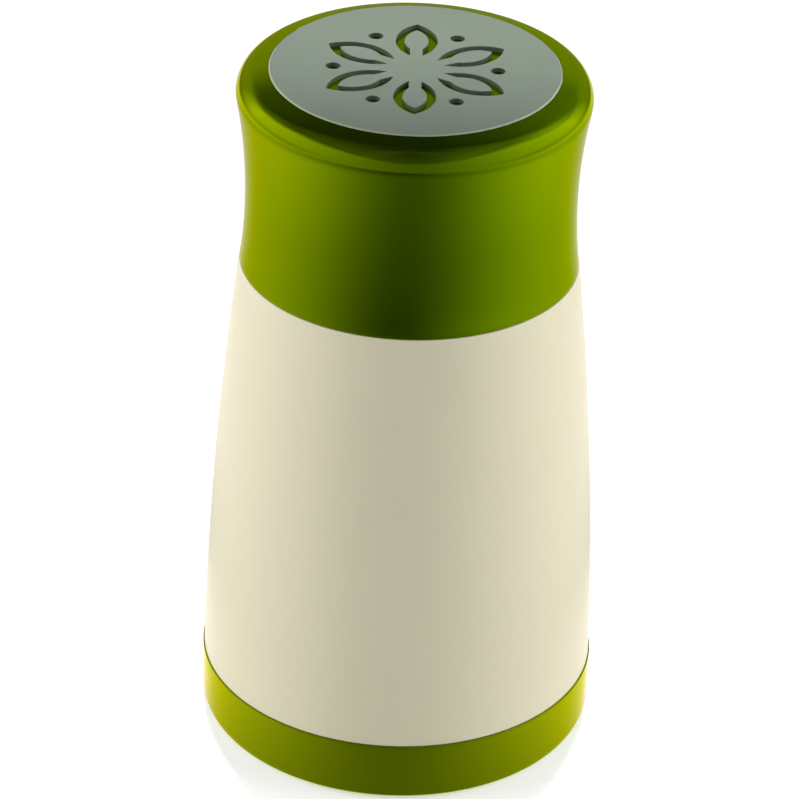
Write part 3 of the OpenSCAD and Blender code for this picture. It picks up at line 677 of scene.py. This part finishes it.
def make_finishes(tints):
    """All the mill's materials, by name."""
    moulded, ground = moulded_group(), ground_group()
    made = {
        "lime": finish("lime_lacquer", moulded, tints.lime,
                       {"Shade Low": 0.97, "Rough Low": 0.08, "Rough High": 0.11, "Peel": 0.01},
                       Metallic=1.0, Specular_Tint=(1.0, 1.0, 0.4, 1.0)),
        "ring": finish("ring_lacquer", moulded, tints.ring,
                       {"Shade Low": 0.97, "Rough Low": 0.1, "Rough High": 0.14, "Peel": 0.01},
                       Metallic=0.97, Specular_Tint=(1.0, 1.0, 0.45, 1.0)),
        "cream": finish("cream_plastic", moulded, tints.cream,
                        {"Shade Low": 0.98, "Rough Low": 0.28, "Rough High": 0.33, "Peel": 0.03},
                        Specular_IOR_Level=0.12),
        "sage": finish("sage_disc", moulded, tints.sage,
                       {"Shade Low": 0.93, "Rough Low": 0.4, "Rough High": 0.5, "Peel": 0.1},
                       Metallic=0.3),
        "white": finish("white_plastic", moulded, tints.white,
                        {"Shade Low": 0.95, "Rough Low": 0.4, "Rough High": 0.52, "Peel": 0.12}),
        "silicone": finish("soft_silicone", moulded, tints.silicone,
                           {"Shade Low": 0.92, "Rough Low": 0.5, "Rough High": 0.62, "Peel": 0.12}),
        "shaft": finish("drawn_steel", ground, tints.steel, {"Along": (60, 60, 1)}, Metallic=1.0),
        "blade": finish("ground_steel", ground, tints.steel,
                        {"Along": (1.5, 60, 60), "Rough Low": 0.18, "Rough High": 0.34}, Metallic=1.0),
        "wire": finish("spring_steel", ground, tints.steel,
                       {"Along": (8, 8, 8), "Rough Low": 0.2, "Rough High": 0.32}, Metallic=1.0),
        "bronze": finish("sintered_bronze", ground, tints.bronze,
                         {"Along": (30, 30, 30), "Rough Low": 0.32, "Rough High": 0.5}, Metallic=1.0),
    }
    # Painted highlight: the sage disc turns paler all round its edge, standing in for light on its chamfer
    paint_edge_highlight(made["sage"], edge_highlight_group(), tints.sage_highlight, reach("top_disc") - EDGE_W)
    return made


FINISHES = {}


class FinishesOperator(bpy.types.Operator):
    """Make the finishes"""

    bl_idname = "herb_mill.finishes"
    bl_label = "Finishes"

    def execute(self, context):
        FINISHES.update(make_finishes(context.scene.mill_finishes))
        return {"FINISHED"}


class CapOperator(bpy.types.Operator):
    """Turn the cap, with its hub, its ribs and its drive socket"""

    bl_idname = "herb_mill.cap"
    bl_label = "Cap"

    def execute(self, context):
        s = context.scene.mill_sizes
        cap = turn("cap_moulding", cap_section(s), s.turn_steps)
        plate = low_z("top_disc") - s.cap_plate_t
        rib = block("rib", (s.cap_hub_r - OVERLAP, -s.rib_w / 2, plate - s.cap_rib_h),
                    (s.cap_foot_r - s.cap_wall + RIB_BITE, s.rib_w / 2, plate + OVERLAP))
        combine(cap, turned_copies(rib, s.rib_count), "UNION")
        combine(cap, drive_socket(s), "DIFFERENCE")
        place(cap, "head", "green_plastic", FINISHES["lime"], "cap")
        return {"FINISHED"}


def drive_socket(s):
    """The two-flat bar that cuts the cap's drive socket."""
    top = high_z("drive_shaft")
    deselect()
    bpy.ops.mesh.primitive_cylinder_add(vertices=SOCKET_STEPS, radius=s.tip_r, depth=s.tip_len,
                                        location=(0, 0, top - s.tip_len / 2))
    socket = added("socket")
    bpy.ops.object.transform_apply(location=True, rotation=True, scale=True)
    bpy.ops.object.mode_set(mode="EDIT")
    for side in (-1, 1):
        bpy.ops.mesh.select_all(action="SELECT")
        bpy.ops.mesh.bisect(plane_co=(side * s.tip_half, 0, 0), plane_no=(side, 0, 0), use_fill=True,
                            clear_outer=True)
    return close_piece(socket)


class BodyOperator(bpy.types.Operator):
    """Turn the body, with the key slots in its neck"""

    bl_idname = "herb_mill.body"
    bl_label = "Body"

    def execute(self, context):
        s = context.scene.mill_sizes
        body = turn("body_moulding", body_section(s), s.turn_steps)
        top = high_z("body_shell")
        slot = block("slot", (s.neck_r - 2 * CLEAR, -s.key_w / 2, top - s.neck_t + s.key_floor),
                     (s.key_r, s.key_w / 2, top + CLEAR))
        combine(body, turned_copies(slot, 2), "DIFFERENCE")
        place(body, "body", "cream_plastic", FINISHES["cream"], "body_shell")
        return {"FINISHED"}


class BaseOperator(bpy.types.Operator):
    """Turn the base ring, with its bayonet"""

    bl_idname = "herb_mill.base"
    bl_label = "Base ring"

    def execute(self, context):
        s = context.scene.mill_sizes
        base = turn("base_moulding", base_section(s), s.turn_steps)
        top = high_z("base_ring") + CLEAR
        outer = s.base_r - s.base_wall
        inner = outer - s.lug_h - OVERLAP
        foot = high_z("stator_blade") + s.groove_rise
        for head, first, last in (
            (foot + s.groove_h, -s.lock_turn - s.lug_half, s.lug_half),
            (top, -s.lock_turn - s.lug_half, -s.lock_turn + s.lug_half),
        ):
            outline = [(inner, foot), (outer, foot), (outer, head), (inner, head)]
            sweep = last - first
            cutter = turn("cutter", outline, round(sweep / CUT_STEP), sweep, first)
            combine(base, turned_copies(cutter, s.lug_count), "DIFFERENCE")
        place(base, "base", "green_plastic", FINISHES["ring"], "base_ring")
        return {"FINISHED"}


def coil_points(s):
    """The middle of the spring's wire, with a closed turn at each end."""
    foot = low_z("press_spring") + s.spring_wire_d / 2
    head = high_z("press_spring") - s.spring_wire_d / 2
    end_rise = END_PITCH * s.spring_wire_d
    points = []
    for i in range(s.spring_turns * COIL_STEPS + 1):
        t = i / COIL_STEPS
        if t < 1:
            z = foot + end_rise * t
        elif t > s.spring_turns - 1:
            z = head - end_rise * (s.spring_turns - t)
        else:
            z = foot + end_rise + (head - foot - 2 * end_rise) * (t - 1) / (s.spring_turns - 2)
        points.append((s.spring_r * cos(FULL_TURN * t), s.spring_r * sin(FULL_TURN * t), z))
    return points


class SpringOperator(bpy.types.Operator):
    """Wind the presser's spring"""

    bl_idname = "herb_mill.spring"
    bl_label = "Spring"

    def execute(self, context):
        s = context.scene.mill_sizes
        points = coil_points(s)
        start_point("press_coil", points[0])
        draw_path(points)
        bpy.ops.object.mode_set(mode="OBJECT")
        bpy.ops.object.transform_apply(location=True, rotation=True, scale=True)
        bpy.ops.object.convert(target="CURVE")
        spring = bpy.context.active_object
        spring.data.bevel_depth = s.spring_wire_d / 2
        spring.data.bevel_resolution = WIRE_STEPS
        spring.data.use_fill_caps = True
        bpy.ops.object.convert(target="MESH")
        spring = bpy.context.active_object
        bpy.ops.object.mode_set(mode="EDIT")
        close_piece(spring)
        place(spring, "collar", "steel", FINISHES["wire"], "press_spring")
        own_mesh(spring)
        return {"FINISHED"}


class InsideOperator(bpy.types.Operator):
    """Give the disc and the inner pieces their finishes"""

    bl_idname = "herb_mill.inside"
    bl_label = "Disc and inner pieces"

    def execute(self, context):
        dress(FINISHES["sage"], "top_disc")
        dress(FINISHES["white"], "collar", "press_plate", "hopper_liner", "thrust_washer")
        dress(FINISHES["silicone"], "collar_seal", "press_wiper", "stator_gasket")
        dress(FINISHES["shaft"], "drive_shaft", "cap_screw", "screw_washer")
        dress(FINISHES["blade"], "stator_blade", "rotor_blade", "rotor_hub", "shaft_clip", "stop_clip",
              "rotor_clip")
        dress(FINISHES["bronze"], "shaft_bush", "rotor_washer")
        return {"FINISHED"}


class StageOperator(bpy.types.Operator):
    """Set up the camera, the floor, the lamps and the tent"""

    bl_idname = "herb_mill.stage"
    bl_label = "Stage"

    def execute(self, context):
        stage = context.scene.mill_stage
        set_camera(context.scene, stage)
        lay_floor(stage)
        hang_lamps(stage)
        pitch_tent(stage)
        light_world(context.scene, stage)
        context.scene.view_settings.view_transform = "Standard"
        return {"FINISHED"}


def set_camera(scene, stage):
    """The camera at the photograph's place."""
    data = bpy.data.cameras.new("camera")
    data.lens = stage.camera_lens
    data.sensor_width = 36.0
    data.sensor_fit = "HORIZONTAL"
    data.clip_start = 0.01
    camera = bpy.data.objects.new("camera", data)
    scene.collection.objects.link(camera)
    level = Vector((sin(stage.camera_yaw), cos(stage.camera_yaw), 0))
    ahead = level * cos(stage.camera_pitch) - Vector((0, 0, sin(stage.camera_pitch)))
    right = Vector((cos(stage.camera_yaw), -sin(stage.camera_yaw), 0))
    down = ahead.cross(right)
    across = right * cos(stage.camera_roll) + down * sin(stage.camera_roll)
    below = down * cos(stage.camera_roll) - right * sin(stage.camera_roll)
    turned = Matrix((across, -below, -ahead)).transposed()
    camera.matrix_world = Matrix.Translation((0, -stage.camera_back, stage.camera_h)) @ turned.to_4x4()
    scene.camera = camera


def shader_mix(tree, part, first, second):
    """The first shader at part 0 and the second at part 1."""
    mix = tree.nodes.new("ShaderNodeMixShader")
    for source, target in zip((part, first, second), mix.inputs):
        link(tree, source, target)
    return mix.outputs["Shader"]


def background_mix(tree, lit, seen):
    """A mix of two shaders: one for the light a surface gets, one for what is looked at or mirrored."""
    path = tree.nodes.new("ShaderNodeLightPath").outputs
    mirrored = calculated(tree, "MAXIMUM", path["Is Glossy Ray"], path["Is Transmission Ray"])
    return shader_mix(tree, calculated(tree, "MAXIMUM", path["Is Camera Ray"], mirrored), lit, seen)


def bare_material(name):
    """A new material with nothing but an output: the material, its nodes and the output's socket."""
    material = bpy.data.materials.new(name)
    material.use_nodes = True
    tree = material.node_tree
    tree.nodes.clear()
    return material, tree, tree.nodes.new("ShaderNodeOutputMaterial").inputs["Surface"]


def lay_floor(stage):
    """A wide pale floor that keeps the mill's shadow, open under the mill and clear from below."""
    deselect()
    bpy.ops.mesh.primitive_plane_add(size=FLOOR_W, location=(0, 0, 0))
    floor = added("floor")
    material, tree, surface = bare_material("pale_floor")
    diffuse = tree.nodes.new("ShaderNodeBsdfDiffuse")
    diffuse.inputs["Color"].default_value = (*stage.floor, 1.0)
    glow = tree.nodes.new("ShaderNodeEmission")
    distance = axis_distance(tree)
    lift = faded(tree, distance, (stage.floor_near_r, stage.floor_far_r),
                 (stage.floor_lift, stage.floor_far))
    link(tree, lift, glow.inputs["Strength"])
    lifted = tree.nodes.new("ShaderNodeAddShader")
    link(tree, diffuse.outputs["BSDF"], lifted.inputs[0])
    link(tree, glow.outputs["Emission"], lifted.inputs[1])
    solid = background_mix(tree, diffuse.outputs["BSDF"], lifted.outputs["Shader"])
    clear = tree.nodes.new("ShaderNodeBsdfTransparent")
    side = tree.nodes.new("ShaderNodeNewGeometry")
    covered = calculated(tree, "LESS_THAN", distance, stage.floor_hole_r)
    opened = calculated(tree, "MAXIMUM", side.outputs["Backfacing"], covered)
    link(tree, shader_mix(tree, opened, solid, clear.outputs["BSDF"]), surface)
    floor.data.materials.append(material)


def lamp(name, location, target, width, height, power, opening=pi):
    """A rectangular soft lamp that faces a point and shines within an angle."""
    data = bpy.data.lights.new(name, "AREA")
    data.shape = "RECTANGLE"
    data.size, data.size_y = width, height
    data.energy, data.spread = power, opening
    light = bpy.data.objects.new(name, data)
    bpy.context.scene.collection.objects.link(light)
    light.location = location
    light.visible_glossy = light.visible_camera = False
    light.rotation_euler = (Vector(target) - Vector(location)).to_track_quat("-Z", "Y").to_euler()


def hang_lamps(stage):
    """Large soft lamps on both sides and behind, and a narrow one high over the disc."""
    middle, disc = (0, 0, 0.07), (0, 0.015, high_z("top_disc"))
    lamp("left_lamp", (-0.65, -0.03, 0.25), middle, width=0.5, height=0.4, power=stage.side_power)
    lamp("right_lamp", (0.65, -0.03, 0.25), middle, width=0.5, height=0.4, power=stage.side_power)
    lamp("back_lamp", (0.0, 0.7, 0.45), middle, width=0.7, height=0.4, power=stage.back_power)
    lamp("disc_lamp", (0.0, 0.25, 1.0), disc, width=0.3, height=0.02, power=stage.disc_power,
         opening=radians(7))


def mirrored_only(piece, brightness, stage):
    """Make a piece shine, with a brightness that depends on the place, in reflections alone."""
    material, tree, surface = bare_material(piece.name + "_glow")
    glow = tree.nodes.new("ShaderNodeEmission")
    coordinates = tree.nodes.new("ShaderNodeTexCoord")
    split = tree.nodes.new("ShaderNodeSeparateXYZ")
    link(tree, coordinates.outputs["Object"], split.inputs["Vector"])
    level = brightness(tree, *(split.outputs[axis] for axis in "XYZ"), stage)
    pale_warmth = faded(tree, level, (0, 1), (0.85, 1.2))
    left_warmth = faded(tree, split.outputs["X"], (-0.15, 0.15), (0.06, -0.06))
    warmth = calculated(tree, "ADD", pale_warmth, left_warmth)
    tint = tree.nodes.new("ShaderNodeCombineColor")
    tint.inputs["Green"].default_value = tint.inputs["Blue"].default_value = 1.0
    link(tree, warmth, tint.inputs["Red"])
    link(tree, tint.outputs["Color"], glow.inputs["Color"])
    link(tree, level, glow.inputs["Strength"])
    link(tree, glow.outputs["Emission"], surface)
    piece.data.materials.append(material)
    piece.visible_camera = piece.visible_diffuse = piece.visible_shadow = False
    piece.visible_transmission = False


def turned_from_front(tree, x, y, offset=0.0):
    """How far a place lies round the mill, from 0 ahead to 1 behind, eased where it turns back."""
    ease = 0.008
    ahead = calculated(tree, "MULTIPLY", y, -1)
    bearing = calculated(tree, "SUBTRACT", calculated(tree, "ARCTAN2", x, ahead), offset)
    part = calculated(tree, "MULTIPLY", bearing, 1 / pi)
    return calculated(tree, "SQRT", calculated(tree, "MULTIPLY_ADD", part, part, ease))


def wall_brightness(tree, part, stage):
    """The foot of the tent wall: dark ahead of the mill and paler towards its sides."""
    pale_from, steepness = 0.65, 1.1
    rising = calculated(tree, "POWER", faded(tree, part, (0, pale_from), (0, 1)), steepness)
    return mixed(tree, rising, stage.tent_front, stage.tent_side)


def with_horizon(tree, level, part, edge):
    """A level made darker where the sheet meets the wall, beside the mill only."""
    depth = 0.3
    line = calculated(tree, "MULTIPLY", faded(tree, part, BESIDE, (0, depth)), edge)
    return calculated(tree, "MULTIPLY", level, calculated(tree, "SUBTRACT", 1, line))


def sheet_brightness(tree, x, y, z, stage):
    """The floor as the upright sides mirror it: dark ahead, paler behind, and pale close to the foot."""
    # Zones are radii in metres
    foot_zone, gap_zone, inner_zone, middle_zone = (0.05, 0.075), (0.08, 0.12), (0.14, 0.21), (0.14, 0.36)
    outer_zone, wall_zone, edge_zone = (0.27, 0.34), (0.34, 0.48), (0.5, 0.75)
    behind, pale_from, steepness, twist = (0.86, 1), 0.62, 1.3, radians(-8)
    outer_gain, gap_gain, behind_gain = 1.15, 0.4, 0.35
    dark_levels, near_levels = (0.1, 0.01), (0.1, 2.6)
    pale_levels = (1.2 * stage.sheet_back, 0.9 * stage.sheet_back)
    radius = axis_distance(tree)
    part = turned_from_front(tree, x, y)
    aside = turned_from_front(tree, x, y, faded(tree, radius, middle_zone, (0, twist)))
    pale = calculated(tree, "MULTIPLY", faded(tree, radius, outer_zone, (1, outer_gain)),
                      faded(tree, radius, inner_zone, pale_levels))
    middle = mixed(tree, faded(tree, aside, (0, pale_from), (0, 1), "SMOOTHSTEP"),
                   faded(tree, radius, middle_zone, dark_levels), pale)
    middle = calculated(tree, "MULTIPLY", middle, faded(tree, radius, gap_zone, (gap_gain, 1)))
    far = mixed(tree, faded(tree, radius, wall_zone, (0, 1)), middle, wall_brightness(tree, part, stage))
    rising = faded(tree, calculated(tree, "POWER", part, steepness), (0, 1), near_levels)
    near = calculated(tree, "MULTIPLY", faded(tree, part, behind, (1, behind_gain)), rising)
    level = mixed(tree, faded(tree, radius, foot_zone, (0, 1)), near, far)
    return with_horizon(tree, level, part, faded(tree, radius, edge_zone, (0, 1)))


def both_sides(tree, x, right, left):
    """A value that grows to the right and to the left, each given as its range and its height."""
    grown = [faded(tree, x, zone, (0, height)) for zone, height in (right, left)]
    return calculated(tree, "ADD", *grown)


def dome_brightness(tree, x, y, z, stage):
    """The tent as the rim and the shoulder mirror it: pale beside the mill, dark overhead."""
    wall_end, hood_end = (0.66, 0.78), (0.5, 0.68)
    # Zones are heights in metres
    edge_zone, shade_zone, glow_zone, right_zone, ahead_zone = (
        (0.02, 0.22), (0.42, 0.64), (0.55, 0.85), (0.65, 0.9), (0.45, 0.9))
    part = turned_from_front(tree, x, y)
    wall = calculated(tree, "MULTIPLY", wall_brightness(tree, part, stage),
                      faded(tree, part, wall_end, (1, stage.tent_back / stage.tent_side)))
    hood = both_sides(tree, x, ((0.1, 0.5), 0.2), ((-0.15, -0.5), 0.14))
    hood = calculated(tree, "MULTIPLY", hood, faded(tree, part, hood_end, (1, 0)))
    shade = faded(tree, calculated(tree, "SUBTRACT", z, hood), shade_zone, (1, 0), "SMOOTHSTEP")
    right = calculated(tree, "MULTIPLY", faded(tree, x, (0, 0.3), (0, 0.4)),
                       faded(tree, z, right_zone, (1, 0)))
    glow = calculated(tree, "ADD", faded(tree, z, glow_zone, (0.3, 0)), right)
    ahead = calculated(tree, "MULTIPLY", faded(tree, z, ahead_zone, (0.6, 0.3)),
                       faded(tree, part, BESIDE, (1, 0)))
    glow = calculated(tree, "MAXIMUM", glow, ahead)
    aside = calculated(tree, "MULTIPLY", faded(tree, y, (0.2, 0.45), (1, 0)),
                       both_sides(tree, x, ((0.08, 0.36), 0.16), ((-0.1, -0.4), 0.08)))
    overhead = calculated(tree, "ADD", aside, faded(tree, y, (-0.2, 0.3), (0.06, 0.036)))
    lit = calculated(tree, "MULTIPLY", wall, calculated(tree, "MAXIMUM", shade, glow))
    level = calculated(tree, "MAXIMUM", overhead, lit)
    return with_horizon(tree, level, part, faded(tree, z, edge_zone, (1, 0)))


def pitch_tent(stage):
    """A sheet on the floor and a dome that only reflections show, as flags do beside a glossy product."""
    deselect()
    bpy.ops.mesh.primitive_circle_add(vertices=TENT_STEPS, radius=stage.tent_r, fill_type="NGON",
                                      location=(0, 0, MM))
    sheet = added("tent_sheet")
    bpy.ops.object.transform_apply(location=True, rotation=True, scale=True)
    mirrored_only(sheet, sheet_brightness, stage)
    deselect()
    bpy.ops.mesh.primitive_uv_sphere_add(segments=TENT_STEPS, ring_count=TENT_STEPS // 2,
                                         radius=stage.tent_r)
    dome = added("tent_dome")
    bpy.ops.object.mode_set(mode="EDIT")
    bpy.ops.mesh.select_all(action="SELECT")
    bpy.ops.mesh.bisect(plane_co=(0, 0, MM), plane_no=(0, 0, 1), clear_inner=True)
    bpy.ops.object.mode_set(mode="OBJECT")
    mirrored_only(dome, dome_brightness, stage)


def light_world(scene, stage):
    """Even light from all round, and white where the world is seen."""
    world = bpy.data.worlds.new("studio")
    scene.world = world
    world.use_nodes = True
    tree = world.node_tree
    tree.nodes.clear()
    out = tree.nodes.new("ShaderNodeOutputWorld")
    shaders = []
    for strength in (stage.ambient, 1.0):
        background = tree.nodes.new("ShaderNodeBackground")
        background.inputs["Color"].default_value = (1, 1, 1, 1)
        background.inputs["Strength"].default_value = strength
        shaders.append(background.outputs["Background"])
    link(tree, background_mix(tree, *shaders), out.inputs["Surface"])


OPERATORS = (FinishesOperator, CapOperator, BodyOperator, BaseOperator, SpringOperator, InsideOperator,
             StageOperator)


class MillPanel(bpy.types.Panel):
    """Buttons that build the mill"""

    bl_idname = "VIEW3D_PT_herb_mill"
    bl_label = "Herb mill"
    bl_space_type = "VIEW_3D"
    bl_region_type = "UI"
    bl_category = "Herb mill"

    def draw(self, context):
        for operator in OPERATORS:
            self.layout.operator(operator.bl_idname)


GROUPS = {"mill_sizes": MillSizes, "mill_finishes": MillFinishes, "mill_stage": MillStage}


def register():
    """Register the property groups, the operators and the panel."""
    for name, group in GROUPS.items():
        bpy.utils.register_class(group)
        setattr(bpy.types.Scene, name, PointerProperty(type=group))
    for cls in (*OPERATORS, MillPanel):
        bpy.utils.register_class(cls)


def unregister():
    """Take back what register did."""
    for cls in reversed((*OPERATORS, MillPanel)):
        bpy.utils.unregister_class(cls)
    for name, group in GROUPS.items():
        delattr(bpy.types.Scene, name)
        bpy.utils.unregister_class(group)


def main():
    """Build the mill and its stage."""
    register()
    for operator in OPERATORS:
        group, call = operator.bl_idname.split(".")
        getattr(getattr(bpy.ops, group), call)()


if __name__ == "__main__":
    main()
